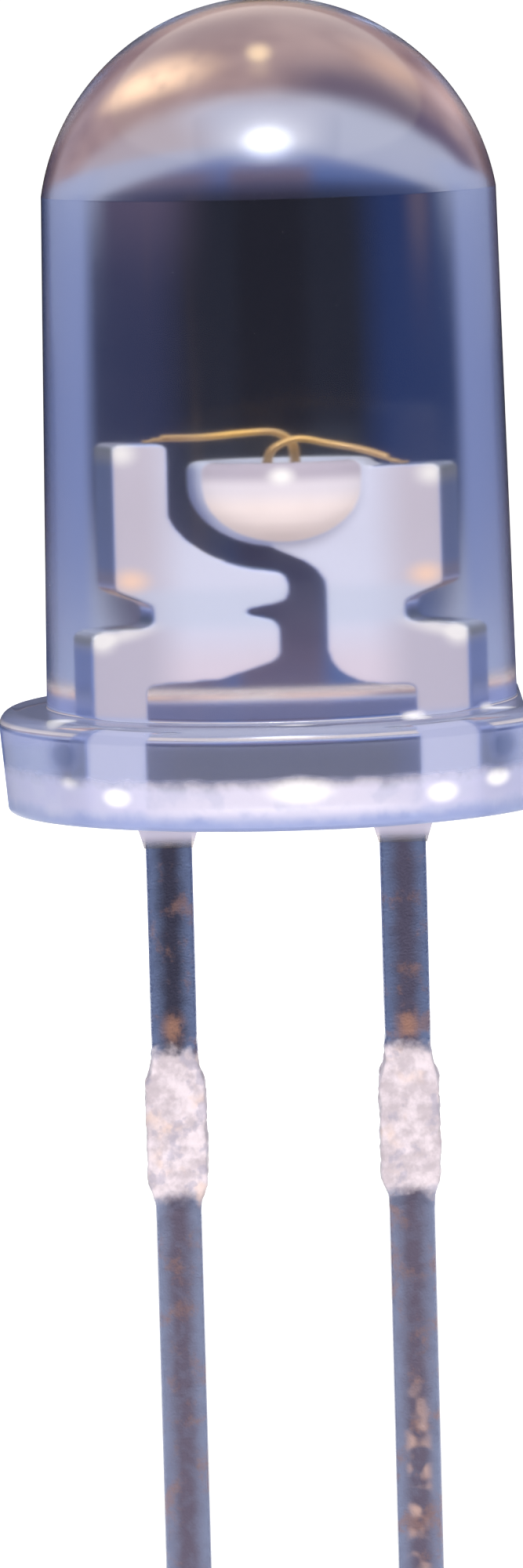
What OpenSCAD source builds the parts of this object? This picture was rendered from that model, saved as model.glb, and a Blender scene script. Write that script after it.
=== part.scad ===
// Through hole LED, 5 mm size: a clear epoxy body cast around a stamped two-lead frame.
// All sizes are in millimetres. The origin is at the centre of the flange's underside,
// +Z points to the dome, the leads hang down and the cathode, with the flat, is at +X.

/* [Epoxy body] */
// Diameter of the barrel where it meets the flange
barrel_d = 5.1; // [4.2:0.05:6.5]
// Length of the barrel from the flange to the foot of the dome
barrel_h = 5.53; // [4.2:0.05:9]
// Draft of the barrel on each side, in degrees
barrel_draft = 1; // [0:0.1:2]
// How far the dome's centre lies below the foot of the dome
dome_sink = 0.4; // [0.1:0.05:1]
// Thickness of the flange
flange_h = 1.1; // [0.6:0.05:1.8]
// How far the flange's upper edge stands out beyond the barrel
flange_ledge = 0.52; // [0.3:0.02:1]
// How much smaller the flange's radius is at its underside
flange_taper = 0.08; // [0:0.01:0.2]
// Radius of the flange's rounded upper edge
flange_edge_r = 0.17; // [0.05:0.01:0.25]
// How far the flange's flat stands out beyond the barrel, on the cathode's side
flat_ledge = 0.045; // [0.04:0.005:0.25]
// Radius of the fillet between the barrel and the flange
barrel_fillet_r = 0.03; // [0.01:0.005:0.035]
// Width of the epoxy that climbs each lead at the underside
meniscus_w = 0.2; // [0.03:0.01:0.3]
// Height of the epoxy that climbs each lead at the underside
meniscus_h = 0.44; // [0.05:0.01:0.6]

/* [Leads] */
// Distance between the two leads' centres
lead_pitch = 2.54; // [2.1:0.01:3.1]
// Width of each lead
lead_w = 0.5; // [0.35:0.01:0.6]
// Thickness of the strip that both leads are stamped from
strip_t = 0.5; // [0.3:0.01:0.6]
// Length of the anode lead below the seat
anode_len = 11; // [6:0.1:30]
// Length of the cathode lead below the seat
cathode_len = 10; // [6:0.1:30]
// Depth below the seat at which the cut dam bar starts
dam_top = 2.75; // [1:0.05:4]
// Length of the cut dam bar along each lead
dam_h = 1.65; // [0.6:0.05:2.4]
// How far the cut dam bar stands out on each side of a lead
dam_out = 0.08; // [0.03:0.01:0.2]
// Length of the slope at each end of the cut dam bar
dam_slope = 0.25; // [0.05:0.01:0.3]

/* [Lead frame inside the body] */
// Height of the shoulders on the legs
shoulder_z = 1.94; // [1.7:0.02:2.2]
// How far the post and the anvil are set in from the legs' outer sides
head_inset = 0.24; // [0.1:0.01:0.3]
// Height of the lock notches above the shoulders
notch_h = 0.44; // [0.3:0.01:0.6]
// Depth of the lock notches from the post's and the anvil's outer sides
notch_depth = 0.32; // [0.1:0.01:0.4]
// How far the anode post's top stands above the cup's rim
post_rise = 0.2; // [0:0.01:0.5]
// Gap between the anode post and the cup
post_gap = 0.18; // [0.1:0.01:0.2]
// How far the anvil's top lies below the cup's rim
anvil_drop = 0.09; // [0:0.01:0.2]
// Height of the anode's lower inner edge
web_z = 1.36; // [1.15:0.01:1.5]
// How far the cathode's lower inner edge lies below the anode's
web_step = 0.06; // [0:0.01:0.1]
// How far the anode's upper tongue reaches past the middle, towards the cathode
tongue_x = 0.075; // [-0.1:0.005:0.15]
// How far the anode's lower tongue ends short of the upper one
tongue_step = 0.07; // [0:0.01:0.15]
// Gap between the anode's upper tongue and the cathode's stem
tongue_gap = 0.27; // [0.15:0.01:0.35]
// Gap between the anode's upper tongue and the bowl of the cup
bowl_gap = 0.24; // [0.2:0.01:0.3]
// Depth of the cleft between the two tongues
cleft_depth = 0.39; // [0.1:0.01:0.5]
// Half the width of the cleft's mouth
cleft_mouth = 0.1; // [0.03:0.01:0.12]

/* [Reflector cup] */
// Distance of the cup's axis from the body's axis
cup_x = 0.04; // [-0.05:0.01:0.1]
// Outer radius of the cup
cup_r = 0.67; // [0.55:0.01:0.72]
// Height of the cup's rim
rim_z = 3.77; // [3.7:0.01:4]
// Radius of the rim's rounded outer edge
rim_edge_r = 0.1; // [0.02:0.01:0.1]
// Thickness of the cup's wall at the rim
cup_wall = 0.11; // [0.06:0.01:0.15]
// Room between the adhesive's corners and the foot of the cup's wall
floor_margin = 0.02; // [0.005:0.005:0.05]
// Depth of the cup
cup_depth = 0.36; // [0.25:0.01:0.45]
// Height of the bowl's upright wall below the rim
bowl_wall_h = 0.27; // [0.15:0.01:0.4]

/* [Chip and bond wires] */
// Side of the square chip
chip_w = 0.36; // [0.2:0.01:0.38]
// Height of the chip
chip_h = 0.12; // [0.08:0.01:0.2]
// Thickness of the adhesive under the chip
attach_t = 0.03; // [0.01:0.005:0.05]
// How far the adhesive spreads beyond the chip's sides
attach_spread = 0.02; // [0:0.005:0.02]
// Diameter of the bond wires
wire_d = 0.075; // [0.02:0.005:0.08]
// Diameter of the ball bonds on the chip
ball_d = 0.13; // [0.06:0.005:0.15]
// Height of the ball bonds on the chip
ball_h = 0.05; // [0.02:0.005:0.08]
// Distance of each ball bond from the chip's sides
ball_margin = 0.02; // [0.01:0.005:0.05]
// Height of the anode wire's arch above the post's top
anode_arch = 0.09; // [0.08:0.01:0.4]
// Height of the cathode wire's arch above the cup's rim
cathode_arch = 0.22; // [0.16:0.01:0.4]
// How far in from the post's inner side the anode wire is stitched
post_stitch = 0.15; // [0.1:0.01:0.2]
// How far from the cup's side the cathode wire is stitched to the anvil
anvil_stitch = 0.25; // [0.2:0.01:0.3]

/* [Hidden] */

$fn = 96;
// A small overlap for cuts, and how far a hollow runs out past the surface that it opens in
eps = 0.01;
run_out = 0.5;

// The body's radii and heights, which all start from the barrel and the flange
barrel_r = barrel_d / 2;
barrel_top_r = barrel_r - barrel_h * tan(barrel_draft);
dome_foot_z = flange_h + barrel_h;
dome_r = sqrt(pow(barrel_top_r, 2) + pow(dome_sink, 2));
flange_r = barrel_r + flange_ledge;
flat_x = barrel_r + flat_ledge;

// Sides of the legs, the heads and the notches, as distances from the body's axis
leg_out = lead_pitch / 2 + lead_w / 2;
leg_in = lead_pitch / 2 - lead_w / 2;
head_out = leg_out - head_inset;
notch_in = head_out - notch_depth;
post_in = cup_r + post_gap - cup_x;
stem_x = tongue_x + tongue_gap;

// Heights of the notches, the post and the anvil
notch_top_z = shoulder_z + notch_h;
post_z = rim_z + post_rise;
anvil_z = rim_z - anvil_drop;

// The bowl of the cup, and the clearance circle that the anode follows around it
bowl_z = rim_z - bowl_wall_h;
clear_r = cup_r + bowl_gap;
floor_z = rim_z - cup_depth;
mouth_r = cup_r - cup_wall;
floor_r = (chip_w / 2 + attach_spread) * sqrt(2) + floor_margin;
cone_slope = (mouth_r - floor_r) / cup_depth;

// The anode's tongues: the upper one's top, the cleft, and the foot of the lower one
tongue_top_z = bowl_z - clear_r - 0.02;
tongue_foot_z = web_z + 0.27;
cleft_z = tongue_foot_z + 0.56 * (tongue_top_z - tongue_foot_z);

// Heights of the stacked pieces on the cup's floor, and the places of the bonds
chip_z = floor_z + attach_t;
chip_top_z = chip_z + chip_h;
pad_off = chip_w / 2 - ball_d / 2 - ball_margin;
post_stitch_x = -post_in - post_stitch;
anvil_stitch_x = cup_x + cup_r + anvil_stitch;

// Corner radii of the stamped outline, and the steps in each rounded corner
crisp_r = 0.02;
corner_r = 0.07;
shoulder_r = 0.13;
tongue_r = min(0.15, 0.45 * (tongue_top_z - cleft_z - cleft_mouth));
stem_r = 0.42;
arc_steps = 7;

// How far the notches' floor rises and their roof falls on the way in
notch_floor_rise = 0.07;
notch_roof_fall = 0.15;
// Width of the slope under the lower tongue, and how far the stem's top lies below the bowl
web_slope_w = 0.52;
stem_drop = 0.25;
// How far the stem's outline reaches up into the bowl
root_depth = 0.13;

// A flat vector turned to unit length
function unit(v) = v / norm(v);

// Points along an arc about a centre, from one angle to another
function arc(centre, r, from, to, steps) =
    [for (i = [0 : steps]) centre + r * [cos(from + (to - from) * i / steps),
                                         sin(from + (to - from) * i / steps)]];

// Turns an angle to the one between -180 and 180 degrees
function short_turn(a) = a > 180 ? a - 360 : a < -180 ? a + 360 : a;

// The rounded corner at b, on the way from a to c
function corner(a, b, c, r) =
    let (u = unit(a - b), v = unit(c - b), half = acos(u * v) / 2)
    let (centre = b + unit(u + v) * r / sin(half))
    let (p = b + u * r / tan(half) - centre, q = b + v * r / tan(half) - centre)
    let (start = atan2(p[1], p[0]), turn = short_turn(atan2(q[1], q[0]) - start))
    arc(centre, r, start, start + turn, arc_steps);

// A closed outline from corners given as [x, z, radius], where radius 0 is a plain point
function rounded(c) = [
    for (i = [0 : len(c) - 1])
        let (a = c[(i + len(c) - 1) % len(c)], b = c[i], d = c[(i + 1) % len(c)])
        for (p = b[2] == 0 ? [[b[0], b[1]]]
                           : corner([a[0], a[1]], [b[0], b[1]], [d[0], d[1]], b[2])) p
];

// The side of a leg from its tip up, at x, with the cut dam bar standing out by out
function leg_side(x, out, tip) = [
    [x, -tip, crisp_r],
    [x, -dam_top - dam_h, crisp_r],
    [x + out, -dam_top - dam_h + dam_slope, crisp_r],
    [x + out, -dam_top - dam_slope, crisp_r],
    [x, -dam_top, crisp_r],
];

// A list in the opposite order
function reversed(v) = [for (i = [len(v) - 1 : -1 : 0]) v[i]];

// The outer side of a leg's shoulder and lock notch, on the side given by s
function shoulder_side(s) = [
    [s * leg_out, shoulder_z, shoulder_r],
    [s * notch_in, shoulder_z + notch_floor_rise, corner_r],
    [s * notch_in, notch_top_z - notch_roof_fall, corner_r],
    [s * head_out, notch_top_z, corner_r],
];

// Where the circle around the bowl leaves the post's inner side, and where the tongue ends it
clear_from = 360 - acos(-(cup_x + post_in) / clear_r);
clear_to = 262;
clear_steps = 14;

// The anode, seen from the front: leg, notch, post, the hollow around the bowl, two tongues
function anode_outline() = rounded(concat(
    leg_side(-leg_out, -dam_out, anode_len),
    shoulder_side(-1),
    [[-head_out, post_z, corner_r], [-post_in, post_z, corner_r]],
    [for (p = arc([cup_x, bowl_z], clear_r, clear_from, clear_to, clear_steps)) [p[0], p[1], 0]],
    [
        [tongue_x, tongue_top_z, tongue_r],
        [tongue_x, cleft_z + cleft_mouth, 0.8 * tongue_r],
        [tongue_x - cleft_depth, cleft_z, crisp_r],
        [tongue_x - tongue_step, cleft_z - cleft_mouth, tongue_r],
        [tongue_x - tongue_step, tongue_foot_z, tongue_r],
        [tongue_x - web_slope_w, web_z + web_step, tongue_r],
        [-leg_in, web_z, corner_r],
    ],
    reversed(leg_side(-leg_in, dam_out, anode_len))
));

// The cathode without its cup: leg, the stem up to the bowl, the anvil, notch
function cathode_outline() = rounded(concat(
    leg_side(leg_in, -dam_out, cathode_len),
    [
        [leg_in, web_z - web_step, corner_r],
        [stem_x, web_z, stem_r],
        [stem_x, bowl_z - cup_r - stem_drop, stem_r],
        [cup_x - 0.6 * root_depth, bowl_z - cup_r, crisp_r],
        [cup_x - 0.4 * root_depth, bowl_z - cup_r + root_depth, 0],
        [cup_x, anvil_z, 0],
        [head_out, anvil_z, corner_r],
    ],
    reversed(shoulder_side(1)),
    reversed(leg_side(leg_out, dam_out, cathode_len))
));

// A plate of the strip's thickness with the given outline
module stamped(outline)
    rotate([90, 0, 0])
        linear_extrude(strip_t, center = true) polygon(outline);

// The coined cup, solid: a round bottom, an upright wall and a rounded rim
module bowl()
    translate([cup_x, 0, 0])
        rotate_extrude() {
            intersection() {
                translate([0, bowl_z]) circle(cup_r);
                translate([0, bowl_z - cup_r - eps]) square([cup_r + eps, cup_r + eps]);
            }
            translate([0, bowl_z]) square([cup_r, bowl_wall_h - rim_edge_r]);
            translate([0, bowl_z]) square([cup_r - rim_edge_r, bowl_wall_h]);
            intersection() {
                translate([cup_r - rim_edge_r, rim_z - rim_edge_r]) circle(rim_edge_r);
                translate([0, bowl_z]) square([cup_r + eps, bowl_wall_h + eps]);
            }
        }

// The conical hollow of the cup, which runs out above the rim
module cup_hollow()
    translate([cup_x, 0, floor_z])
        cylinder(h = cup_depth + run_out, r1 = floor_r,
                 r2 = floor_r + (cup_depth + run_out) * cone_slope);

module anode_solid() stamped(anode_outline());

module cathode_solid()
    difference() {
        union() {
            stamped(cathode_outline());
            bowl();
        }
        cup_hollow();
    }

module attach_solid()
    translate([cup_x, 0, floor_z + attach_t / 2])
        cube([chip_w + 2 * attach_spread, chip_w + 2 * attach_spread, attach_t], center = true);

module chip_solid()
    translate([cup_x, 0, chip_z + chip_h / 2]) cube([chip_w, chip_w, chip_h], center = true);

// One point of a smooth curve through the points p, at the share t of its stretch i
function curve_point(p, i, t) =
    let (a = p[max(i - 1, 0)], b = p[i], c = p[i + 1], d = p[min(i + 2, len(p) - 1)])
    0.5 * (2 * b + (c - a) * t + (2 * a - 5 * b + 4 * c - d) * t * t
           + (3 * b - 3 * c + d - a) * t * t * t);

function curve(p, steps) = concat(
    [for (i = [0 : len(p) - 2]) for (k = [0 : steps - 1]) curve_point(p, i, k / steps)],
    [p[len(p) - 1]]);

wire_sides = 10;
wire_steps = 4;

// The last rings of a wire are pressed flat, as a stitch bond is, down to this share
stitch_rings = 4;
stitch_flat = 0.35;
function flatness(i, n) = 1 - (1 - stitch_flat) * max(0, i - n + stitch_rings + 1) / stitch_rings;

// A round wire along the points p, which lie above one line on the ground
module wire(p) {
    path = curve(p, wire_steps);
    n = len(path);
    across = unit(cross([0, 0, 1], p[len(p) - 1] - p[0]));
    points = [
        for (i = [0 : n - 1])
            let (t = unit(path[min(i + 1, n - 1)] - path[max(i - 1, 0)]), up = cross(t, across),
                 flat = flatness(i, n), drop = [0, 0, -(1 - flat) * wire_d / 2])
            for (k = [0 : wire_sides - 1])
                path[i] + drop + wire_d / 2 * (cos(360 * k / wire_sides) * across / sqrt(flat)
                                               + sin(360 * k / wire_sides) * up * flat)
    ];
    sides = [
        for (i = [0 : n - 2]) for (k = [0 : wire_sides - 1])
            let (m = (k + 1) % wire_sides, a = i * wire_sides, b = a + wire_sides)
            each [[a + k, a + m, b + m], [a + k, b + m, b + k]]
    ];
    ends = [
        [for (k = [wire_sides - 1 : -1 : 0]) k],
        [for (k = [0 : wire_sides - 1]) (n - 1) * wire_sides + k],
    ];
    polyhedron(points, concat(sides, ends));
}

// The ball bond at the foot of a wire, with a shoulder that narrows into the wire
module ball_bond(x, y)
    translate([x, y, chip_top_z]) {
        cylinder(h = ball_h, d = ball_d);
        translate([0, 0, ball_h]) cylinder(h = ball_h, d1 = ball_d - eps, d2 = 0.7 * wire_d);
    }

// The anode wire rises from the chip's far corner and runs over the rim to the post
anode_pad = [cup_x + pad_off, pad_off];
anode_peak_z = post_z + anode_arch;
anode_route = [
    [anode_pad[0], anode_pad[1], chip_top_z + 0.5 * ball_h],
    [anode_pad[0], anode_pad[1], chip_top_z + 0.25],
    [anode_pad[0] - 0.03, 0.9 * anode_pad[1], anode_peak_z - 0.1],
    [anode_pad[0] - 0.14, 0.8 * anode_pad[1], anode_peak_z],
    [cup_x - 0.25, 0.6 * anode_pad[1], anode_peak_z],
    [-post_in + 0.3, 0.3 * anode_pad[1], post_z + 0.6 * anode_arch],
    [post_stitch_x + 0.12, 0.05 * anode_pad[1], post_z + 0.4 * wire_d + 0.02],
    [post_stitch_x, 0, post_z + wire_d / 2],
];

// The cathode wire rises from the chip's near corner and runs over the rim to the anvil
cathode_pad = [cup_x - pad_off, -pad_off];
cathode_peak_z = rim_z + cathode_arch;
cathode_route = [
    [cathode_pad[0], cathode_pad[1], chip_top_z + 0.5 * ball_h],
    [cathode_pad[0], cathode_pad[1], chip_top_z + 0.22],
    [cathode_pad[0] + 0.06, 0.95 * cathode_pad[1], cathode_peak_z - 0.08],
    [cathode_pad[0] + 0.22, 0.8 * cathode_pad[1], cathode_peak_z],
    [cup_x + 0.5 * cup_r, 0.5 * cathode_pad[1], cathode_peak_z - 0.06],
    [cup_x + cup_r - 0.09, 0.25 * cathode_pad[1], rim_z + 0.08],
    [anvil_stitch_x - 0.1, 0.05 * cathode_pad[1], anvil_z + 0.4 * wire_d + 0.02],
    [anvil_stitch_x, 0, anvil_z + wire_d / 2],
];

module anode_wire_solid() {
    wire(anode_route);
    ball_bond(anode_pad[0], anode_pad[1]);
}

module cathode_wire_solid() {
    wire(cathode_route);
    ball_bond(cathode_pad[0], cathode_pad[1]);
}

// The flange: slightly narrower at its underside, rounded at its upper edge, with one flat
module flange()
    difference() {
        rotate_extrude() {
            polygon([
                [0, 0], [flange_r - flange_taper, 0], [flange_r, flange_h - flange_edge_r],
                [flange_r - flange_edge_r, flange_h], [0, flange_h],
            ]);
            intersection() {
                translate([flange_r - flange_edge_r, flange_h - flange_edge_r]) circle(flange_edge_r);
                square([flange_r + eps, flange_h + eps]);
            }
        }
        translate([flat_x, -flange_r, -eps]) cube([flange_r, 2 * flange_r, flange_h + 2 * eps]);
    }

// The fillet where the barrel stands on the flange
module barrel_fillet()
    rotate_extrude()
        difference() {
            translate([barrel_r - 2 * barrel_fillet_r, flange_h - eps])
                square([3 * barrel_fillet_r, barrel_fillet_r + eps]);
            translate([barrel_r + barrel_fillet_r, flange_h + barrel_fillet_r])
                circle(barrel_fillet_r);
        }

// The dome: the part of a sphere above the foot of the dome
module dome()
    intersection() {
        translate([0, 0, dome_foot_z - dome_sink]) sphere(dome_r);
        translate([0, 0, dome_foot_z]) cylinder(h = dome_r, r = dome_r + eps);
    }

// The epoxy that has climbed a lead: a square foot that narrows down the lead
module meniscus(x)
    translate([x, 0, 0])
        intersection_for (turn = [0, 90])
            rotate([90, 0, turn])
                linear_extrude(lead_w + strip_t + 2 * meniscus_w, center = true)
                    let (half = (turn == 0 ? lead_w : strip_t) / 2)
                        polygon([
                            [-half - meniscus_w, eps], [half + meniscus_w, eps],
                            [half + meniscus_w, 0], [half + eps, -meniscus_h],
                            [-half - eps, -meniscus_h], [-half - meniscus_w, 0],
                        ]);

module epoxy_body()
    color([0.78, 0.82, 0.95, 0.35])
        difference() {
            union() {
                flange();
                barrel_fillet();
                translate([0, 0, flange_h]) cylinder(h = barrel_h, r1 = barrel_r, r2 = barrel_top_r);
                dome();
                for (side = [-1, 1]) meniscus(side * lead_pitch / 2);
            }
            anode_solid();
            cathode_solid();
            attach_solid();
            chip_solid();
            anode_wire_solid();
            cathode_wire_solid();
        }

module anode_lead() color([0.72, 0.73, 0.80]) anode_solid();
module cathode_lead() color([0.80, 0.76, 0.80]) cathode_solid();
module led_chip() color([0.90, 0.93, 0.80]) chip_solid();
module die_attach() color([0.85, 0.85, 0.88]) attach_solid();
module anode_bond_wire() color([0.90, 0.66, 0.25]) anode_wire_solid();
module cathode_bond_wire() color([0.86, 0.72, 0.40]) cathode_wire_solid();

epoxy_body();
anode_lead();
cathode_lead();
led_chip();
die_attach();
anode_bond_wire();
cathode_bond_wire();
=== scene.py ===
# A clear 5 mm through hole LED: an epoxy body cast around a stamped two-lead frame.
# Each piece is shaped in millimetres, then scaled down to metres.
import math

import bpy
from mathutils import Matrix, Vector


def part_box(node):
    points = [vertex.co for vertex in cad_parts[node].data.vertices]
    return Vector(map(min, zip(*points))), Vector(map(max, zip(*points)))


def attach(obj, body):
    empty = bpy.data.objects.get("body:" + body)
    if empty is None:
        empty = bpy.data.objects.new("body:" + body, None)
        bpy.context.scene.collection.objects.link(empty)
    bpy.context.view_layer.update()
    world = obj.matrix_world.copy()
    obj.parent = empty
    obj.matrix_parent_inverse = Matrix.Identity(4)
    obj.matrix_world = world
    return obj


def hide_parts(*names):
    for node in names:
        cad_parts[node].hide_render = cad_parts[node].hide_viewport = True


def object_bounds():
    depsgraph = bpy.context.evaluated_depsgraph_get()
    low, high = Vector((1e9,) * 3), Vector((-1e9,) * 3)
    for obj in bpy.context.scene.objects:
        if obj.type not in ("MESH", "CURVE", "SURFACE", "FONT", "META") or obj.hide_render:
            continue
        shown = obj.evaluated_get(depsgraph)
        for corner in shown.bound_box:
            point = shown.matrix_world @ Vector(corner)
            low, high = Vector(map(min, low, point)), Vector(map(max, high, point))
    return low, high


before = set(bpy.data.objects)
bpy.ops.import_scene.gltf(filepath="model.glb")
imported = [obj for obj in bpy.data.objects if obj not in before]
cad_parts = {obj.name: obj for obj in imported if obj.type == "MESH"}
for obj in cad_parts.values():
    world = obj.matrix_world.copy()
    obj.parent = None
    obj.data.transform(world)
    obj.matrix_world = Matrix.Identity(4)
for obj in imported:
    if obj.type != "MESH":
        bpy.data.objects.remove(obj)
cad_low, cad_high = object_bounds()

# ---------------------------------------------------------------- leads
# Anode and cathode are stamped from one strip of steel and plated with silver. Inside the
# body the plating stays bright; outside it is slate, painted with a dark reflection down the
# middle and pale blue reflections along the sides, and where the dam bar between the leads
# was cut away a frosty scar is left.
MM = 0.001
lead_x = 1.27
strip_half = 0.25
cup_x = 0.04
bowl_r = 0.72
bowl_foot_z = 2.7
scar_top, scar_foot = -2.5, -4.5
scar_fade = 0.25
stub_top, stub_foot = -2.68, -4.47
stub_ease = 0.32
voxel = 0.025


def deselect_all():
    if bpy.context.mode != "OBJECT":
        bpy.ops.object.mode_set(mode="OBJECT")
    bpy.ops.object.select_all(action="DESELECT")


def select_only(obj):
    deselect_all()
    obj.select_set(True)
    bpy.context.view_layer.objects.active = obj


def apply_modifier(obj, kind, **settings):
    select_only(obj)
    modifier = obj.modifiers.new(kind.lower(), kind)
    for key, value in settings.items():
        setattr(modifier, key, value)
    bpy.ops.object.modifier_apply(modifier=modifier.name)


def finish_piece(obj, name, material, node, smooth=30):
    """Names a piece shaped in millimetres, brings it to metres and puts it on the object"""
    select_only(obj)
    obj.name = obj.data.name = name
    bpy.ops.object.transform_apply(location=True, rotation=True, scale=True)
    obj.data.transform(Matrix.Scale(MM, 4))
    bpy.ops.object.shade_smooth_by_angle(angle=math.radians(smooth))
    obj.data.materials.clear()
    obj.data.materials.append(material)
    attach(obj, "root")
    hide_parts(node)
    return obj


class Paint:
    """A socket of a material's nodes: sums on it add Math nodes"""

    def __init__(self, tree, socket=None):
        self.tree = tree
        self.socket = socket

    def node(self, kind, settings=None, inputs=None, out=0):
        new = self.tree.nodes.new(kind)
        for key, value in (settings or {}).items():
            setattr(new, key, value)
        for key, value in (inputs or {}).items():
            if isinstance(value, Paint):
                self.tree.links.new(value.socket, new.inputs[key])
            else:
                new.inputs[key].default_value = value
        return Paint(self.tree, new.outputs[out])

    def math(self, operation, other=0.0, first=None):
        first = self if first is None else first
        return self.node("ShaderNodeMath", {"operation": operation}, {0: first, 1: other})

    def __add__(self, other): return self.math("ADD", other)
    def __sub__(self, other): return self.math("SUBTRACT", other)
    def __rsub__(self, other): return self.math("SUBTRACT", self, first=other)
    def __mul__(self, other): return self.math("MULTIPLY", other)
    def __truediv__(self, other): return self.math("DIVIDE", other)
    def __abs__(self): return self.math("ABSOLUTE")
    __radd__ = __add__
    __rmul__ = __mul__

    def step(self, low, high, start=0.0, end=1.0):
        """A smooth change from start to end as the value goes from low to high"""
        return self.node("ShaderNodeMapRange", {"interpolation_type": "SMOOTHSTEP"},
                         {"Value": self, "From Min": low, "From Max": high,
                          "To Min": start, "To Max": end})

    def mix(self, a, b):
        """A colour from a to b, as this value goes from 0 to 1"""
        a, b = ((*c, 1) if isinstance(c, tuple) else c for c in (a, b))
        return self.node("ShaderNodeMix", {"data_type": "RGBA"},
                         {0: self, 6: a, 7: b}, out=2)


def root(value):
    return value.math("SQRT")


def new_material(name):
    """A material, its place for textures and its position, both in millimetres"""
    material = bpy.data.materials.new(name)
    material.use_nodes = True
    tree = material.node_tree
    tree.nodes.clear()
    paint = Paint(tree)
    place = paint.node("ShaderNodeTexCoord", out="Object")
    scaled = paint.node("ShaderNodeVectorMath", {"operation": "SCALE"}, {0: place, "Scale": 1 / MM})
    split = [paint.node("ShaderNodeSeparateXYZ", None, {0: scaled}, out=i) for i in range(3)]
    return material, paint, scaled, split


def finish_material(material, shader):
    output = material.node_tree.nodes.new("ShaderNodeOutputMaterial")
    material.node_tree.links.new(shader.socket, output.inputs["Surface"])
    return material


def principled(paint, **inputs):
    return paint.node("ShaderNodeBsdfPrincipled", None,
                      {key.replace("_", " "): value for key, value in inputs.items()})


def noise(paint, place, scale, detail=2.0, rough=0.5):
    return paint.node("ShaderNodeTexNoise", None,
                      {"Vector": place, "Scale": scale, "Detail": detail, "Roughness": rough})


def bump(paint, height, depth, strength=1.0, normal=None):
    inputs = {"Height": height, "Distance": depth * MM, "Strength": strength}
    if normal:
        inputs["Normal"] = normal
    return paint.node("ShaderNodeBump", None, inputs)


def blob(a, b, centre, size, soft=1.0):
    """1 in the middle of an oval in the plane of a and b, and 0 from its rim on"""
    da, db = (a - centre[0]) / size[0], (b - centre[1]) / size[1]
    return root(da * da + db * db).step(1, 1 - soft)


def share(value):
    """A number, kept between 0 and 1"""
    return min(1, max(0, value))


def stamped_lead(node, name):
    """A lead with rolled corners, and with the ragged stub of its cut dam bar"""
    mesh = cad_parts[node].data.copy()
    mesh.transform(Matrix.Scale(1 / MM, 4))
    lead = bpy.data.objects.new(name, mesh)
    bpy.context.scene.collection.objects.link(lead)
    select_only(lead)
    bpy.ops.object.mode_set(mode="EDIT")
    bpy.ops.mesh.select_all(action="SELECT")
    bpy.ops.mesh.remove_doubles(threshold=1e-4)
    bpy.ops.object.mode_set(mode="OBJECT")
    apply_modifier(lead, "REMESH", mode="VOXEL", voxel_size=voxel)
    apply_modifier(lead, "SMOOTH", factor=0.5, iterations=8)
    shank = lead.vertex_groups.new(name="shank")
    shank.add([v.index for v in lead.data.vertices if v.co.z < 0.3], 1.0, "REPLACE")
    apply_modifier(lead, "SMOOTH", factor=0.5, iterations=30, vertex_group="shank")

    # The stub that stands proud of the strip eases in from both of its ends
    side = math.copysign(lead_x, sum(v.co.x for v in lead.data.vertices if v.co.z < -1))
    for v in lead.data.vertices:
        proud = abs(v.co.x - side) - strip_half
        if proud > 0 and scar_foot < v.co.z < scar_top - 0.1:
            ease = share(min(stub_top - v.co.z, v.co.z - stub_foot) / stub_ease)
            v.co.x -= math.copysign(proud * (1 - ease), v.co.x - side)
    scar = lead.vertex_groups.new(name="scar")
    for v in lead.data.vertices:
        inside = min(scar_top - v.co.z, v.co.z - scar_foot) / scar_fade
        if inside > 0:
            scar.add([v.index], share(inside), "REPLACE")
    pits = bpy.data.textures.new("dam_scar_pits", "CLOUDS")
    pits.noise_scale = 0.16
    apply_modifier(lead, "DISPLACE", texture=pits, texture_coords="LOCAL", strength=0.06,
                   mid_level=0.6, vertex_group="scar")

    # How far each point has turned away from the strip's two flat faces
    rolled = lead.data.attributes.new("rolled", "FLOAT", "POINT")
    for spot, v in zip(rolled.data, lead.data.vertices):
        in_bowl = math.hypot(v.co.x - cup_x, v.co.y) < bowl_r and v.co.z > bowl_foot_z
        spot.value = 0.0 if in_bowl else share((0.97 - abs(v.normal.y)) / 0.4)
    return lead


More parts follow.
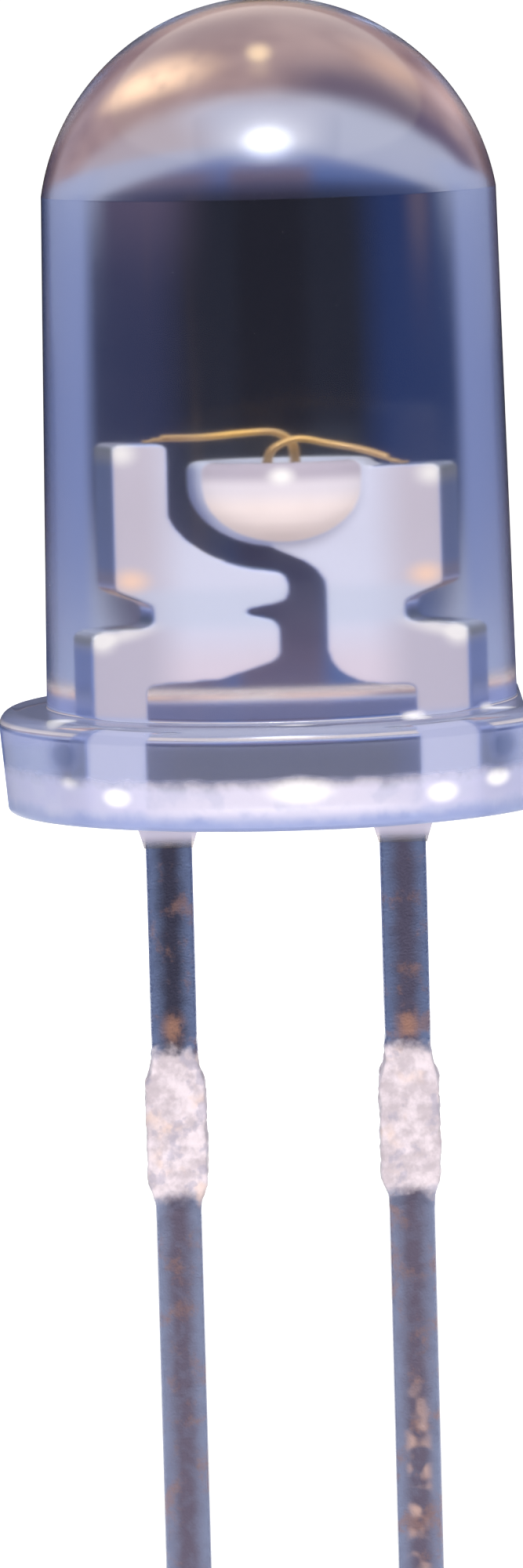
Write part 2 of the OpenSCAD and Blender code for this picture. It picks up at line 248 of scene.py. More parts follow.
def bright_silver(x, z, bowl, rolled):
    """The plating inside the body, with a painted pale bowl, painted reflections and shade, and
    painted highlights at the corners
    """
    away = abs(x)
    stem = z.step(1.5, 2.1).mix((0.78, 0.72, 0.84), (0.73, 0.77, 0.95))
    post = z.step(2.0, 2.6).mix((0.57, 0.55, 0.67), (0.63, 0.60, 0.71))
    silver = away.step(0.62, 1.05).mix(stem, post)
    web = z.step(1.1, 0.9)
    silver = web.mix(silver, (0.50, 0.54, 0.72))
    # Painted reflection: a pale blue band across the frame at the notches' height
    neck = z.step(1.9, 2.1) * z.step(2.5, 2.3)
    silver = (neck * 0.6).mix(silver, (0.62, 0.70, 0.88))

    # Painted light: the bowl's lower half, which faces down, is pale pink as if lit from below, and
    # its upper half is lavender as a painted reflection
    bowl_painted_light = z.step(3.25, 3.5).mix((1.0, 0.90, 0.89), (0.80, 0.76, 0.84))
    silver = bowl.mix(silver, bowl_painted_light)
    # Painted reflection: a darker lavender band round the bowl's lip, with a painted white
    # highlight in its middle
    lip = bowl * z.step(3.50, 3.66)
    silver = lip.mix(silver, (0.50, 0.46, 0.56))
    lip_glint = blob(x, z, (cup_x, 3.62), (0.16, 0.14), 0.9)
    silver = lip_glint.mix(silver, (1, 1, 1))

    # Painted reflection: the rolled edges and sides are tinted pale blue
    edge = rolled * (1 - bowl)
    silver = edge.mix(silver, (0.48, 0.60, 1.0))
    # Painted shade: the rolled faces inside the notches are dark navy
    notch = z.step(1.9, 1.98) * z.step(2.45, 2.36) * away.step(1.0, 1.1)
    silver = (rolled * notch).mix(silver, (0.10, 0.13, 0.26))
    # Painted highlights: white spots on the top corners of post and anvil and on the shoulders, and
    # a streak along each shoulder's top edge
    corner_highlights = (blob(x, z, (-1.2, 3.87), (0.2, 0.2)) + blob(x, z, (1.2, 3.58), (0.2, 0.2))
               + blob(away, z, (1.42, 1.84), (0.2, 0.2))
               + blob(away, z - (1.4 - away) * 0.3, (1.22, 1.86), (0.42, 0.13)) * 0.7)
    silver = corner_highlights.mix(silver, (1, 1, 1))
    # Painted highlight: a peach spot at the top of each notch
    peach_highlight = blob(away, z, (1.14, 2.50), (0.24, 0.2))
    return peach_highlight.mix(silver, (1.0, 0.74, 0.60))


def slate_stains_and_reflections(paint, place, x, z, grain):
    """The plating outside: slate, darkest down the middle and pale blue at the sides as painted
    reflections, with rust at the scar's top
    """
    away = abs(x)
    across = abs(away - lead_x)
    lower = z.step(scar_top, scar_foot)
    # Painted reflections: dark down the middle of each lead and pale blue on its rolled sides, both
    # lighter below the scar
    stripe = x.step(0, 0.1).mix((0.042, 0.042, 0.074), (0.088, 0.080, 0.130))
    stripe = lower.mix(stripe, (0.125, 0.105, 0.155))
    flank = lower.mix((0.13, 0.17, 0.30), (0.21, 0.24, 0.36))
    tin = (across + (grain - 0.5) * 0.12).step(0.03, 0.22).mix(stripe, flank)
    stain = noise(paint, place, 3.0, 4.0, 0.65).step(0.52, 0.70)
    cloudy = noise(paint, place, 7.0, 3.0).step(0.45, 0.7) * lower
    tin = (cloudy * 0.4).mix(tin, (0.17, 0.18, 0.27))
    tin = (stain * 0.55).mix(tin, (0.30, 0.17, 0.14))
    rust = blob(away, z, (lead_x, -2.42), (0.2, 0.28)) * grain.step(0.35, 0.6)
    tin = (rust * 0.7).mix(tin, (0.50, 0.26, 0.17))
    worn = (noise(paint, place, 5.0, 1.0).step(0.44, 0.68) * z.step(-6.0, -7.2)
            * x.step(0, 0.1) * across.step(0.18, 0.05))
    return (worn * 0.8).mix(tin, (0.62, 0.42, 0.36))


def frosty_cut(paint, place, z, grain):
    """The powdery metal of the scar, with the fine ribs that the cutter left"""
    ribs = (z * 48 + grain * 4).math("SINE") * 0.5 + 0.5
    pale = grain.step(0.35, 0.7) * 0.8 + ribs * 0.12
    powder = pale.mix((0.50, 0.44, 0.48), (0.80, 0.72, 0.77))
    warm = noise(paint, place, 3.0, 2.0).step(0.55, 0.72)
    powder = (warm * 0.45).mix(powder, (0.84, 0.63, 0.51))
    bare = noise(paint, place, 5.5, 3.0).step(0.56, 0.68)
    return (bare * 0.4).mix(powder, (0.28, 0.28, 0.40))


def plated():
    material, paint, place, (x, y, z) = new_material("silver_plating")
    grain = noise(paint, place, 5.0, 3.0, 0.6)
    fine = noise(paint, place, 40.0, 2.0, 0.5)
    rolled = paint.node("ShaderNodeAttribute", {"attribute_name": "rolled"}, out="Fac")
    outside = z.step(0.05, -0.12)
    bowl = (y.step(-strip_half - 0.02, -strip_half - 0.07)
            * z.step(bowl_foot_z, bowl_foot_z + 0.1))
    ragged = z + noise(paint, place, 6.0, 3.0) * 0.3
    frost = (ragged.step(scar_top + 0.06, scar_top - 0.10)
             * ragged.step(scar_foot + 0.28, scar_foot + 0.48))
    outer_stains_and_reflections = frost.mix(slate_stains_and_reflections(paint, place, x, z, grain),
                        frosty_cut(paint, place, z, grain))
    colour = outside.mix(bright_silver(x, z, bowl, rolled), outer_stains_and_reflections)

    # The bowl's front is burnished, so it shades more evenly than its shape
    facing = paint.node("ShaderNodeNewGeometry", out="Normal")
    even = paint.node("ShaderNodeMix", {"data_type": "VECTOR"},
                      {0: bowl * 0.55, 4: facing, 5: (0, -1, 0.2)}, out=1)
    sheen = outside * (1 - frost)
    hard = rolled * (1 - frost)
    shader = principled(
        paint, Base_Color=colour, Roughness=0.48 - hard * 0.26 - sheen * 0.08,
        Metallic=(1 - bowl) * 0.15 + hard * 0.5 + (1 - hard) * sheen * 0.5,
        Normal=bump(paint, (grain + fine * 0.4) * (outside * 0.9 + 0.1), 0.02, 0.35, even))
    return finish_material(material, shader)


silver_plating = plated()
for node, name in (("anode_lead", "anode"), ("cathode_lead", "cathode")):
    finish_piece(stamped_lead(node, name), name, silver_plating, node, smooth=180)

# ---------------------------------------------------------------- die attach
# A dab of silver-filled glue holds the chip to the cup's floor. It is squeezed out a
# little on all four sides, where it sets in a low uneven fillet.
glue_low, glue_high = (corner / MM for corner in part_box("die_attach"))
glue_shrink = 0.92


def block(low, high):
    """A box between two corners"""
    deselect_all()
    bpy.ops.mesh.primitive_cube_add(size=1, location=(low + high) / 2)
    obj = bpy.context.active_object
    obj.scale = high - low
    bpy.ops.object.transform_apply(location=True, rotation=True, scale=True)
    return obj


def select_faces(obj, test):
    """Edit mode on, with the faces selected that pass the test"""
    select_only(obj)
    bpy.ops.object.mode_set(mode="EDIT")
    bpy.ops.mesh.select_mode(type="FACE")
    bpy.ops.mesh.select_all(action="DESELECT")
    bpy.ops.object.mode_set(mode="OBJECT")
    for face in obj.data.polygons:
        face.select = test(face)
    bpy.ops.object.mode_set(mode="EDIT")


glue = block(glue_low, glue_high)
select_faces(glue, lambda face: face.normal.z > 0.5)
bpy.ops.transform.resize(value=(glue_shrink, glue_shrink, 1),
                         center_override=(cup_x, 0, glue_high.z))
bpy.ops.object.mode_set(mode="OBJECT")
apply_modifier(glue, "BEVEL", width=0.008, segments=3, limit_method="NONE")
apply_modifier(glue, "SUBSURF", levels=2, render_levels=2, subdivision_type="SIMPLE")
lumps = bpy.data.textures.new("glue_lumps", "CLOUDS")
lumps.noise_scale = 0.06
apply_modifier(glue, "DISPLACE", texture=lumps, texture_coords="LOCAL", strength=0.006,
               mid_level=1.0)


def silver_glue():
    material, paint, place, _ = new_material("silver_glue")
    flake = noise(paint, place, 90.0, 2.0)
    shader = principled(
        paint, Base_Color=flake.mix((0.42, 0.41, 0.40), (0.78, 0.77, 0.76)),
        Roughness=0.35 + flake * 0.25, Metallic=flake.step(0.45, 0.6, 0.2, 0.8),
        Normal=bump(paint, flake, 0.004))
    return finish_material(material, shader)


finish_piece(glue, "die_glue", silver_glue(), "die_attach")

# ---------------------------------------------------------------- chip
# The light-emitting chip is a diced block of sapphire with a thin grown layer on top. The
# layer is etched back round its edge, and has a gold pad at two opposite corners.
chip_low, chip_high = (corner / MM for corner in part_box("led_chip"))
street = 0.018
mesa_h = 0.006
pad_off = 0.095
pad_r = 0.062
rail_off = 0.15
rail_half = 0.16

chip = block(chip_low, chip_high - Vector((0, 0, mesa_h)))
select_faces(chip, lambda face: face.normal.z > 0.5)
bpy.ops.mesh.inset(thickness=street)
bpy.ops.mesh.extrude_region_move(TRANSFORM_OT_translate={"value": (0, 0, mesa_h)})
bpy.ops.object.mode_set(mode="OBJECT")
apply_modifier(chip, "BEVEL", width=0.0025, segments=2, limit_method="ANGLE")


def grown_chip():
    material, paint, place, (x, y, z) = new_material("grown_chip")
    u, v = x - cup_x, y
    top = z.step(chip_high.z - 0.004, chip_high.z - 0.002)
    pads = (blob(u, v, (pad_off, pad_off), (pad_r, pad_r), 0.08)
            + blob(u, v, (-pad_off, -pad_off), (pad_r, pad_r), 0.08))
    diagonal = abs(u - v).step(0.010, 0.006) * abs(u).step(pad_off, pad_off - 0.01)
    rails = (abs(abs(u + v) - rail_off).step(0.008, 0.004)
             * abs(u - v).step(rail_half, rail_half - 0.01))
    gold = (pads + (rails + diagonal) * 0.8) * top
    dicing = noise(paint, place, 60.0, 3.0)
    sapphire = dicing.mix((0.30, 0.34, 0.38), (0.52, 0.57, 0.62))
    body = top.mix(sapphire, (0.16, 0.26, 0.30))
    shader = principled(
        paint, Base_Color=gold.mix(body, (0.86, 0.62, 0.24)),
        Metallic=gold.step(0.2, 0.8, 0.1, 1.0), Roughness=0.12 + (1 - top) * 0.3 + dicing * 0.1,
        Normal=bump(paint, dicing * (1 - top) + gold * 0.5, 0.004))
    return finish_material(material, shader)


finish_piece(chip, "led_die", grown_chip(), "led_chip")

# ---------------------------------------------------------------- bond wires
# Each gold wire starts in a ball pressed on to a chip pad, arches over the cup's rim and
# ends in a stitch that is pressed flat on to the lead.
wire_d = 0.075
ball_r = 0.065
ball_h = 0.05
anode_route = (
    (0.135, 0.095, 3.585), (0.135, 0.095, 3.81), (0.105, 0.0855, 3.96), (-0.005, 0.076, 4.06),
    (-0.21, 0.057, 4.06), (-0.51, 0.0285, 4.024), (-0.84, 0.00475, 4.02), (-0.96, 0, 4.0075))
cathode_route = (
    (-0.055, -0.095, 3.585), (-0.055, -0.095, 3.78), (0.005, -0.09025, 3.91),
    (0.165, -0.076, 3.99), (0.375, -0.0475, 3.93), (0.62, -0.02375, 3.85),
    (0.86, -0.00475, 3.73), (0.96, 0, 3.7175))


def flowing(route, steps):
    """More points, on one smooth curve through those of the route"""
    points = [Vector(p) for p in route]
    path = []
    for i in range(len(points) - 1):
        a, b = points[max(i - 1, 0)], points[i]
        c, d = points[i + 1], points[min(i + 2, len(points) - 1)]
        for k in range(steps):
            t = k / steps
            path.append(0.5 * (2 * b + (c - a) * t + (2 * a - 5 * b + 4 * c - d) * t * t
                               + (3 * b - 3 * c + d - a) * t ** 3))
    return path + [points[-1]]


def bond_wire(route):
    path = flowing(route, 6)
    deselect_all()
    bpy.ops.curve.primitive_nurbs_path_add(location=(0, 0, 0))
    wire = bpy.context.active_object
    spline = wire.data.splines[0]
    spline.points.add(len(path) - len(spline.points))
    for point, spot in zip(spline.points, path):
        point.co = (*spot, 1)
        point.radius = 1
    spline.order_u = 3
    wire.data.bevel_depth = wire_d / 2
    wire.data.bevel_resolution = 5
    wire.data.use_fill_caps = True
    bpy.ops.object.convert(target="MESH")
    wire = bpy.context.active_object

    # The stitch: the last stretch is pressed down on the lead, and spreads
    end = path[-1]
    rest_z = end.z - wire_d / 2
    bpy.ops.object.mode_set(mode="EDIT")
    for reach in (0.14, 0.07):
        bpy.ops.mesh.select_mode(type="VERT")
        bpy.ops.mesh.select_all(action="DESELECT")
        bpy.ops.object.mode_set(mode="OBJECT")
        for v in wire.data.vertices:
            v.select = abs(v.co.x - end.x) < reach
        bpy.ops.object.mode_set(mode="EDIT")
        bpy.ops.transform.resize(value=(1, 1.2, 0.65), center_override=(end.x, end.y, rest_z))
    bpy.ops.object.mode_set(mode="OBJECT")

    # The ball, pressed to an oval on the chip's pad
    ball_x, ball_y, _ = route[0]
    bpy.ops.mesh.primitive_uv_sphere_add(
        segments=32, ring_count=16, radius=ball_r,
        location=(ball_x, ball_y, chip_high.z + ball_h / 2))
    ball = bpy.context.active_object
    ball.scale.z = ball_h / 2 / ball_r
    bpy.ops.object.transform_apply(location=True, rotation=True, scale=True)
    wire.select_set(True)
    bpy.context.view_layer.objects.active = wire
    bpy.ops.object.join()
    apply_modifier(wire, "REMESH", mode="VOXEL", voxel_size=0.009)
    apply_modifier(wire, "SMOOTH", factor=0.5, iterations=3)
    return wire


def drawn_gold():
    material, paint, place, (x, y, z) = new_material("drawn_gold")
    drawn = noise(paint, place, 30.0, 2.0)
    wire_tone = drawn.mix((0.58, 0.36, 0.17), (0.78, 0.54, 0.30))
    # Painted highlights: the tops of both arches are a brighter orange gold
    arch_highlights = blob(x, z, (-0.3, 4.06), (0.36, 0.3)) + blob(x, z, (0.25, 3.98), (0.4, 0.2)) * 0.6
    shader = principled(
        paint, Base_Color=arch_highlights.mix(wire_tone, (1.0, 0.62, 0.20)),
        Metallic=0.75, Roughness=0.28 + drawn * 0.15, Normal=bump(paint, drawn, 0.003))
    return finish_material(material, shader)


gold = drawn_gold()
for route, name, node in ((anode_route, "anode_wire", "anode_bond_wire"),
                          (cathode_route, "cathode_wire", "cathode_bond_wire")):
    finish_piece(bond_wire(route), name, gold, node, smooth=180)

# ---------------------------------------------------------------- epoxy body
# One casting of water-clear epoxy, polished where its mould is polished: a domed lens on a
# slightly tapered barrel, and a flange with a flat on the cathode's side. The underside is
# the open face of the pour: it is dull, and the flange is hazy just above it.
body_low, body_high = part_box("epoxy_body")
flange_r = -body_low.x / MM
dome_top_z = body_high.z / MM
flange_h = 1.1
flange_taper = 0.08
flange_edge_r = 0.17
flange_foot_r = 0.05
flat_x = 2.595
fillet_r = 0.03
barrel_r = 2.55
barrel_top_r = 2.4535
dome_foot_z = 6.63
dome_sink = 0.4
dome_r = dome_top_z - dome_foot_z + dome_sink
crease_h = 0.003
crease_turn = 0.07
body_segments = 256


def arc(centre_r, centre_z, radius, start, end, steps):
    """Rings (radius, height) along an arc, without its first point"""
    angles = [math.radians(start + (end - start) * i / steps) for i in range(1, steps + 1)]
    return [(centre_r + radius * math.cos(a), centre_z + radius * math.sin(a)) for a in angles]


def drawn_up(rings, vertices):
    """A closed round solid: a circle that is extruded and scaled from ring to ring"""
    deselect_all()
    radius, z = rings[0]
    bpy.ops.mesh.primitive_circle_add(
        vertices=vertices, radius=radius, fill_type="NGON", location=(0, 0, z))
    bpy.ops.object.transform_apply(location=True, rotation=True, scale=True)
    bpy.ops.object.mode_set(mode="EDIT")
    bpy.ops.mesh.select_all(action="SELECT")
    for (r0, z0), (r1, z1) in zip(rings, rings[1:]):
        bpy.ops.mesh.extrude_region_move(
            TRANSFORM_OT_translate={"value": (0, 0, z1 - z0)})
        bpy.ops.transform.resize(value=(r1 / r0, r1 / r0, 1), center_override=(0, 0, z1))
    bpy.ops.mesh.select_all(action="SELECT")
    bpy.ops.mesh.remove_doubles(threshold=1e-5)
    bpy.ops.mesh.normals_make_consistent(inside=False)
    bpy.ops.object.mode_set(mode="OBJECT")
    return bpy.context.active_object


draft = (barrel_r - barrel_top_r) / (dome_foot_z - flange_h)
dome_z = dome_foot_z - dome_sink
foot_angle = math.degrees(math.asin(dome_sink / dome_r))
taper_angle = math.degrees(math.atan2(flange_taper, flange_h - flange_edge_r))
foot_r = flange_r - flange_taper + flange_foot_r * 0.1
foot_arc = arc(foot_r - flange_foot_r, flange_foot_r, flange_foot_r, -90, -taper_angle, 4)
wall_foot, wall_top = foot_arc[-1], (flange_r, flange_h - flange_edge_r)
wall_rings = [tuple(a + (b - a) * t for a, b in zip(wall_foot, wall_top))
              for t in (0.03, 0.35, 0.65, 0.97)]
body_rings = (
    [(foot_r - 2 * flange_foot_r, 0), (foot_r - flange_foot_r, 0)]
    + foot_arc + wall_rings + [wall_top]
    + arc(flange_r - flange_edge_r, flange_h - flange_edge_r, flange_edge_r, 0, 90, 10)
    + [(flange_r - flange_edge_r - 0.03, flange_h), (barrel_r + fillet_r + 0.02, flange_h)]
    + arc(barrel_r + fillet_r, flange_h + fillet_r, fillet_r, 270, 181, 4)
    + [(barrel_r - draft * (z - flange_h), z)
       for z in (flange_h + 0.06, 2, 3, 4, 5, 6, dome_foot_z - crease_h, dome_foot_z)]
    + arc(0, dome_z, dome_r, foot_angle, foot_angle + crease_turn, 1)
    + arc(0, dome_z, dome_r, foot_angle + crease_turn, 89.6, 64)
)
body = drawn_up(body_rings, body_segments)
select_only(body)
bpy.ops.object.mode_set(mode="EDIT")
bpy.ops.mesh.select_all(action="SELECT")
bpy.ops.mesh.bisect(plane_co=(flat_x, 0, 0), plane_no=(1, 0, 0), use_fill=True, clear_outer=True)
bpy.ops.object.mode_set(mode="OBJECT")

# The epoxy climbs each lead as a foot that narrows from drop to drop: (width, drop)
foot_w = 0.90
foot_drops = ((0.80, 0.06), (0.71, 0.08), (0.64, 0.10), (0.58, 0.10), (0.524, 0.10))
for side in (-1, 1):
    deselect_all()
    bpy.ops.mesh.primitive_cube_add(size=foot_w, location=(side * lead_x, 0, foot_w / 2))
    bpy.ops.object.transform_apply(location=True, rotation=True, scale=True)
    foot = bpy.context.active_object
    select_faces(foot, lambda face: face.normal.z < -0.5)
    wide = foot_w
    for narrow, drop in foot_drops:
        bpy.ops.mesh.extrude_region_move(TRANSFORM_OT_translate={"value": (0, 0, -drop)})
        ratio = narrow / wide
        bpy.ops.transform.resize(value=(ratio, ratio, 1), center_override=(side * lead_x, 0, 0))
        wide = narrow
    bpy.ops.object.mode_set(mode="OBJECT")
    apply_modifier(body, "BOOLEAN", operation="UNION", object=foot, solver="EXACT")
    bpy.data.objects.remove(foot)

epoxy_ior = 1.53
haze_top = 0.50


def cast_epoxy():
    material, paint, place, (x, y, z) = new_material("cast_epoxy")
    away = abs(x)
    swirl = noise(paint, place, 1.3, 2.0)
    cloud = noise(paint, place, 3.5, 3.0)
    height = z + (cloud - 0.5) * 0.16
    clear = principled(paint, Base_Color=(1, 1, 1, 1), Roughness=0.09 + swirl * 0.06,
                       IOR=epoxy_ior, Transmission_Weight=1.0)

    # Haze hangs over the pour's open face, thick below haze_top and thin up to the ledge
    thick = height.step(haze_top + 0.15, haze_top - 0.10) * 0.84
    thin = z.step(1.2, 1.1) * 0.15
    # Painted highlights: four white spots on the flange's ledge
    ledge = (blob(x, y, (-2.36, -1.6), (0.26, 0.36)) + blob(x, y, (1.42, -2.24), (0.26, 0.36))
             + blob(x, y, (0.13, -2.74), (0.34, 0.16)) + blob(x, y, (2.3, -1.4), (0.3, 0.3)))
    ledge = ledge * z.step(0.9, 1.05) * z.step(1.2, 1.12)
    # Painted shade: a dark blue patch near each end of the flange's wall
    end_shade = blob(away, z, (2.34, 0.77), (0.30, 0.32), 0.8)
    above_feet = z.step(-0.45, -0.28)
    veil = thick.math("MAXIMUM", thin).math("MAXIMUM", ledge * 0.9) * above_feet
    veil = veil.math("MAXIMUM", end_shade * 0.55)

    # Its tone: bluer at the ends, deep blue at the wall's foot, with painted shade patches near the
    # ends and painted white highlights (knots and ledge spots) in it
    tone = away.step(2.7, 0.6).mix((0.44, 0.45, 0.67), (0.66, 0.64, 0.79))
    tone = (cloud.step(0.45, 0.65) * 0.5).mix(tone, (0.48, 0.50, 0.68))
    wall = root(x * x + y * y).step(2.2, 2.5)
    tone = (height.step(0.24, 0.06) * wall).mix(tone, (0.26, 0.32, 0.58))
    tone = height.step(0.50, 0.60).mix(tone, (0.40, 0.46, 0.85))
    tone = z.step(0.0, -0.03).mix(tone, (0.47, 0.45, 0.57))
    # Painted highlights: white knots low on the flange's wall
    knot_highlights = (blob(x, z, (0.16, 0.43), (0.54, 0.22)) + blob(x, z, (1.67, 0.33), (0.26, 0.17))
             + blob(x, z, (-1.78, 0.35), (0.23, 0.16)) + blob(x, z, (2.27, 0.42), (0.2, 0.15))
             + blob(x, z, (-2.29, 0.48), (0.16, 0.13)) * 0.5)
    tone = end_shade.mix(tone, (0.07, 0.11, 0.30))
    tone = (knot_highlights * 1.4 + ledge * 2).step(0, 1).mix(tone, (0.97, 0.96, 1))

    # Seen from inside, the far wall gets a painted pale veil that brightens it, and a painted warm
    # highlight in a line below the lead frame's web
    far_wall = paint.node("ShaderNodeNewGeometry", out="Backfacing")
    far_veil_light = z.step(0.66, 0.78) * z.step(0.97, 0.93) * 0.35
    web_line_highlight = z.step(0.965, 0.985) * z.step(1.045, 1.02) * away.step(0.34, 0.2) * y.step(2.5, 2.8)
    hot_highlight = blob(x, z, (-0.06, 1.005), (0.11, 0.05))
    tone = web_line_highlight.mix(tone, hot_highlight.mix((1.0, 0.80, 0.72), (1, 1, 1)))
    veil = veil * (1 - far_wall) + (far_veil_light * (1 - web_line_highlight) + web_line_highlight * 0.95) * far_wall
    haze = principled(paint, Base_Color=tone, Roughness=0.3, IOR=epoxy_ior)
    both = paint.node("ShaderNodeMixShader", None, {0: veil, 1: clear, 2: haze})
    return finish_material(material, both)


def dull_face():
    material, paint, place, (x, y, z) = new_material("dull_epoxy")
    grain = noise(paint, place, 9.0, 4.0, 0.6)
    tone = root(x * x + y * y).step(0.8, 2.2).mix((0.36, 0.38, 0.50), (0.20, 0.22, 0.34))
    # Painted highlight: a warm pale band across the back of the underside, seen below the lead
    # frame's web
    warm_back_highlight = y.step(1.1, 1.5) * abs(x).step(2.0, 0.9)
    tone = warm_back_highlight.mix(tone, (1.0, 0.88, 0.80))
    tone = (grain * 0.12).mix(tone, (0.9, 0.88, 0.95))
    shader = principled(
        paint, Base_Color=tone, Roughness=0.35, IOR=epoxy_ior, Specular_IOR_Level=0.0,
        Transmission_Weight=0.2, Normal=bump(paint, grain, 0.03, 0.6))
    return finish_material(material, shader)


finish_piece(body, "epoxy_casting", cast_epoxy(), "epoxy_body")
body.data.materials.append(dull_face())
for face in body.data.polygons:
    if face.normal.z < -0.9 and abs(face.center.z) < 0.001 * MM:
        face.material_index = 1
body.visible_shadow = False

# ---------------------------------------------------------------- stage
# A plain pale floor, with dark cards round the object, one of them under it. Only its own
# clear body shows the cards, and they light nothing.
floor_z = cad_low.z / MM - 0.02
floor_grey = 0.74
ambient = 0.30


def stage_piece(name, material):
    obj = bpy.context.active_object
    obj.name = obj.data.name = name
    bpy.ops.object.transform_apply(location=True, rotation=True, scale=True)
    obj.data.transform(Matrix.Scale(MM, 4))
    obj.data.materials.append(material)


def in_plain_sight(paint):
    """1 for a ray that no matt surface has scattered, and 0 for one that gathers light"""
    scattered = paint.node("ShaderNodeLightPath", out="Diffuse Depth")
    return 1 - scattered.math("MINIMUM", 1.0)


def seen_directly(paint):
    """1 for the rays that show the backdrop itself, 0 for those that carry its light"""
    seen = 0.0
    for out in ("Is Camera Ray", "Is Glossy Ray", "Is Transmission Ray"):
        ray = paint.node("ShaderNodeLightPath", out=out)
        seen = ray.math("MAXIMUM", seen)
    return seen * in_plain_sight(paint)


def pale_floor():
    material, paint, place, (x, y, z) = new_material("pale_floor")
    level = seen_directly(paint) * root(x * x + y * y).step(40, 260, 0.42, 0.88)
    plain = paint.node("ShaderNodeBsdfDiffuse", None, {"Color": (*[floor_grey] * 3, 1)})
    glow = paint.node("ShaderNodeEmission", None, {"Color": (1, 1, 1, 1), "Strength": level})
    material.cycles.emission_sampling = "NONE"
    return finish_material(material, paint.node("ShaderNodeAddShader", None, {0: plain, 1: glow}))


deselect_all()
bpy.ops.mesh.primitive_plane_add(size=4000, location=(0, 0, floor_z))
stage_piece("floor", pale_floor())


def stand_card(name, colour, **seen):
    """Finishes the active object as a card that glows in its own colour and lights nothing"""
    obj = bpy.context.active_object
    material, paint, place, split = new_material(name)
    tone = in_plain_sight(paint).mix((ambient,) * 3, colour(paint, place, *split))
    shader = paint.node("ShaderNodeEmission", None, {"Color": tone})
    material.cycles.emission_sampling = "NONE"
    stage_piece(name, finish_material(material, shader))
    for ray in ("camera", "diffuse", "glossy", "transmission", "shadow"):
        setattr(obj, "visible_" + ray, seen.get(ray, False))


card_r = 66
card_h = 60
core_black = (0.0135, 0.0145, 0.0235)
side_blue = (0.195, 0.245, 0.49)
slate = (0.10, 0.13, 0.24)
front_black = (0.022, 0.02, 0.032)


def wall_colour(paint, place, x, y, z):
    """Dark behind, pale blue at the sides, slate in front"""
    turn = x.math("ARCTAN2", y) * (180 / math.pi)
    off = abs(turn)
    streak = noise(paint, place, 0.11, 3.0)
    navy = turn.step(-15, 15).mix((0.015, 0.030, 0.112), (0.023, 0.028, 0.075))
    colour = (off + streak * 10).step(16, 28).mix(core_black, navy)
    rust = noise(paint, place, 0.16, 3.0).step(0.56, 0.66) * turn.step(6, 14) * turn.step(38, 30)
    colour = (rust * 0.2).mix(colour, (0.13, 0.085, 0.06))
    plum = z.step(1.5, 2.5) * turn.step(8, 22)
    colour = plum.mix(colour, (0.105, 0.080, 0.135))
    colour = blob(turn, z, (-29, 2.5), (6, 1.2)).mix(colour, (0.17, 0.12, 0.14))

    # Paler and paler towards the foot, and warmer on one side
    left = turn.step(4, 14).math("MAXIMUM", off.step(9, 5))
    colour = z.step(-2.8, -3.6).mix(colour, left.mix((0.032, 0.046, 0.12), (0.050, 0.048, 0.105)))
    colour = z.step(-3.8, -4.6).mix(colour, left.mix((0.045, 0.064, 0.17), (0.062, 0.068, 0.135)))
    colour = z.step(-4.8, -5.4).mix(colour, left.mix((0.09, 0.14, 0.35), (0.145, 0.115, 0.185)))
    colour = z.step(-6.4, -8.0).mix(colour, (0.17, 0.22, 0.46))
    colour = (z - off * 0.16).step(-9.8, -10.9).mix(colour, (0.42, 0.45, 0.62))

    colour = (off + streak * 4).step(39, 47).mix(colour, side_blue)
    shoulder = (z.step(-5.0, -5.8) + z.step(1.9, 2.6)) * off.step(31, 40)
    colour = (shoulder * 0.9).mix(colour, (0.40, 0.45, 0.66))
    colour = off.step(70, 78).mix(colour, slate)
    return off.step(158, 168).mix(colour, front_black)


def ground_colour(paint, place, x, y, z):
    """Brown round the leads with warm glints, pale blue further out"""
    grain = noise(paint, place, 0.12, 3.0)
    fine = noise(paint, place, 0.35, 3.0)
    colour = grain.step(0.3, 0.7).mix((0.27, 0.165, 0.18), (0.42, 0.28, 0.28))
    shade = y.step(24, 36) * x.step(4, -9)
    colour = shade.mix(colour, (0.085, 0.055, 0.115))
    colour = blob(x, y, (2, 2), (17, 17)).mix(colour, (0.95, 0.66, 0.56))
    colour = blob(x, y, (-26, 10), (12, 18)).mix(colour, (0.92, 0.60, 0.54))
    across, along = (x - 14.5) * 0.9 - (y - 27.5) * 0.44, (x - 14.5) * 0.44 + (y - 27.5) * 0.9
    glint = blob(across, along, (0, 0), (13, 9), 0.9) * fine.step(0.2, 0.5)
    colour = glint.mix(colour, (1.45, 0.98, 0.66))
    colour = (blob(x, y, (-15, 22), (9, 8)) * 0.5).mix(colour, (0.85, 0.50, 0.34))
    pale = x.step(-5, -14).mix((0.55, 0.565, 0.72), (0.43, 0.46, 0.62))
    pale = x.step(5, 18).mix(pale, (0.45, 0.385, 0.45))
    colour = (y + grain * 3).step(39, 49).mix(colour, pale)
    return blob(x, y, (0.7, 28), (1.8, 4), 0.8).mix(colour, (1.3, 0.95, 0.6))


deselect_all()
bpy.ops.mesh.primitive_cylinder_add(vertices=128, radius=card_r, depth=card_h,
                                    end_fill_type="NOTHING",
                                    location=(0, 0, floor_z + card_h / 2 + 0.2))
stand_card("wall_card", wall_colour, transmission=True, glossy=True)
deselect_all()
bpy.ops.mesh.primitive_circle_add(vertices=128, radius=card_r, fill_type="NGON",
                                  location=(0, 0, floor_z + 0.3))
stand_card("ground_card", ground_colour, transmission=True)

softbox_spot = Vector((0, -97, 104))
softbox_w, softbox_h = 180, 116
tilt_y = softbox_spot.z / softbox_spot.length


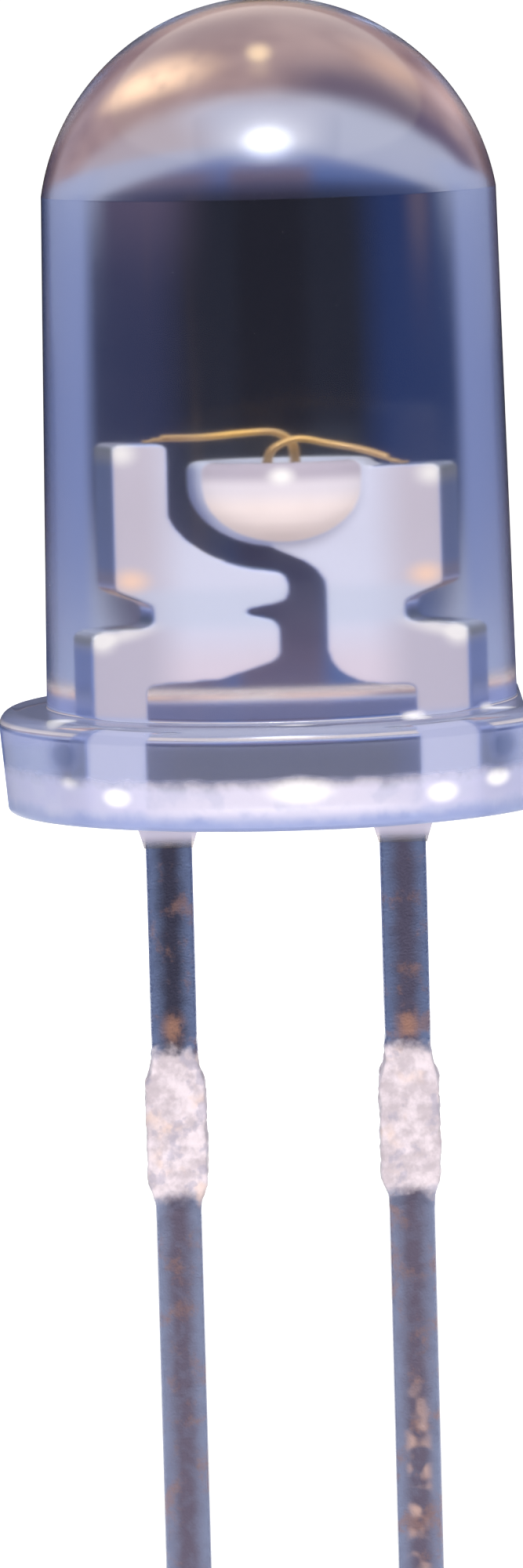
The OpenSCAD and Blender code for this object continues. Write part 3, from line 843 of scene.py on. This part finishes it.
def softbox_glow(paint, place, x, y, z):
    """Brightest in the middle, and fading to nothing at the rim"""
    rise = (y - softbox_spot.y) / tilt_y
    tone = (blob(x, rise, (0, 0), (softbox_w / 2, softbox_h / 2)) * 3
            + blob(x, rise, (0, 0), (60, 42)) * 5 + blob(x, rise, (0, 0), (38, 27), 0.9) * 18)
    return (tone / 26).mix((0, 0, 0), (25, 25.6, 26))


def aimed(spot):
    """At the spot, facing the object's seat"""
    turn = (-spot).to_track_quat("-Z", "Y").to_matrix().to_4x4()
    return Matrix.Translation(spot) @ turn


deselect_all()
bpy.ops.mesh.primitive_plane_add(size=1, location=(0, 0, 0))
softbox = bpy.context.active_object
softbox.matrix_world = aimed(softbox_spot) @ Matrix.Diagonal((softbox_w, softbox_h, 1, 1))
stand_card("softbox", softbox_glow, transmission=True, glossy=True)


def lamp(name, place, size, power, colour=(1, 1, 1)):
    data = bpy.data.lights.new(name, "AREA")
    data.shape = "RECTANGLE"
    data.size, data.size_y = size[0] * MM, size[1] * MM
    data.energy = power
    data.color = colour
    obj = bpy.data.objects.new(name, data)
    bpy.context.scene.collection.objects.link(obj)
    obj.matrix_world = aimed(Vector(place) * MM)
    obj.visible_glossy = obj.visible_transmission = False


lamp("key", softbox_spot, (80, 44), 0.105)
lamp("behind", (0, 130, 100), (120, 60), 0.19)
lamp("low_fill", (0, -130, -4), (90, 20), 0.10, (1.0, 0.88, 0.86))
lamp("left", (-140, -30, 50), (60, 60), 0.05)
lamp("right", (140, -30, 50), (60, 60), 0.05)

world = bpy.data.worlds.new("studio")
bpy.context.scene.world = world
world.use_nodes = True
world.node_tree.nodes.clear()
paint = Paint(world.node_tree)
level = seen_directly(paint).step(0, 1, ambient, 1.0)
white = paint.node("ShaderNodeBackground", None, {"Color": (1, 1, 1, 1), "Strength": level})
output = world.node_tree.nodes.new("ShaderNodeOutputWorld")
world.node_tree.links.new(white.socket, output.inputs["Surface"])

# ---------------------------------------------------------------- camera
# Level with the object's middle, and looking down on it a little. view_h is how much of
# the object's height the picture takes in.
camera_data = bpy.data.cameras.new("camera")
camera = bpy.data.objects.new("camera", camera_data)
bpy.context.scene.collection.objects.link(camera)
bpy.context.scene.camera = camera
camera_far = 100
view_h = 17.02
camera_data.sensor_width = 36
camera_data.lens = camera_data.sensor_width * camera_far / view_h
camera_data.clip_start = 0.001
camera_data.clip_end = 10
tilt = math.radians(5.9)
roll = math.radians(1.55)
right = Vector((1, 0, 0))
up = Vector((0, math.sin(tilt), math.cos(tilt)))
away = Vector((0, -math.cos(tilt), math.sin(tilt)))
aim = (-0.2457 * right + 0.2024 * up) * MM
cam_right = math.cos(roll) * right - math.sin(roll) * up
cam_up = math.sin(roll) * right + math.cos(roll) * up
spot = aim + away * camera_far * MM
camera.matrix_world = Matrix((
    (cam_right.x, cam_up.x, away.x, spot.x),
    (cam_right.y, cam_up.y, away.y, spot.y),
    (cam_right.z, cam_up.z, away.z, spot.z),
    (0, 0, 0, 1)))

bpy.context.scene.view_settings.view_transform = "Standard"
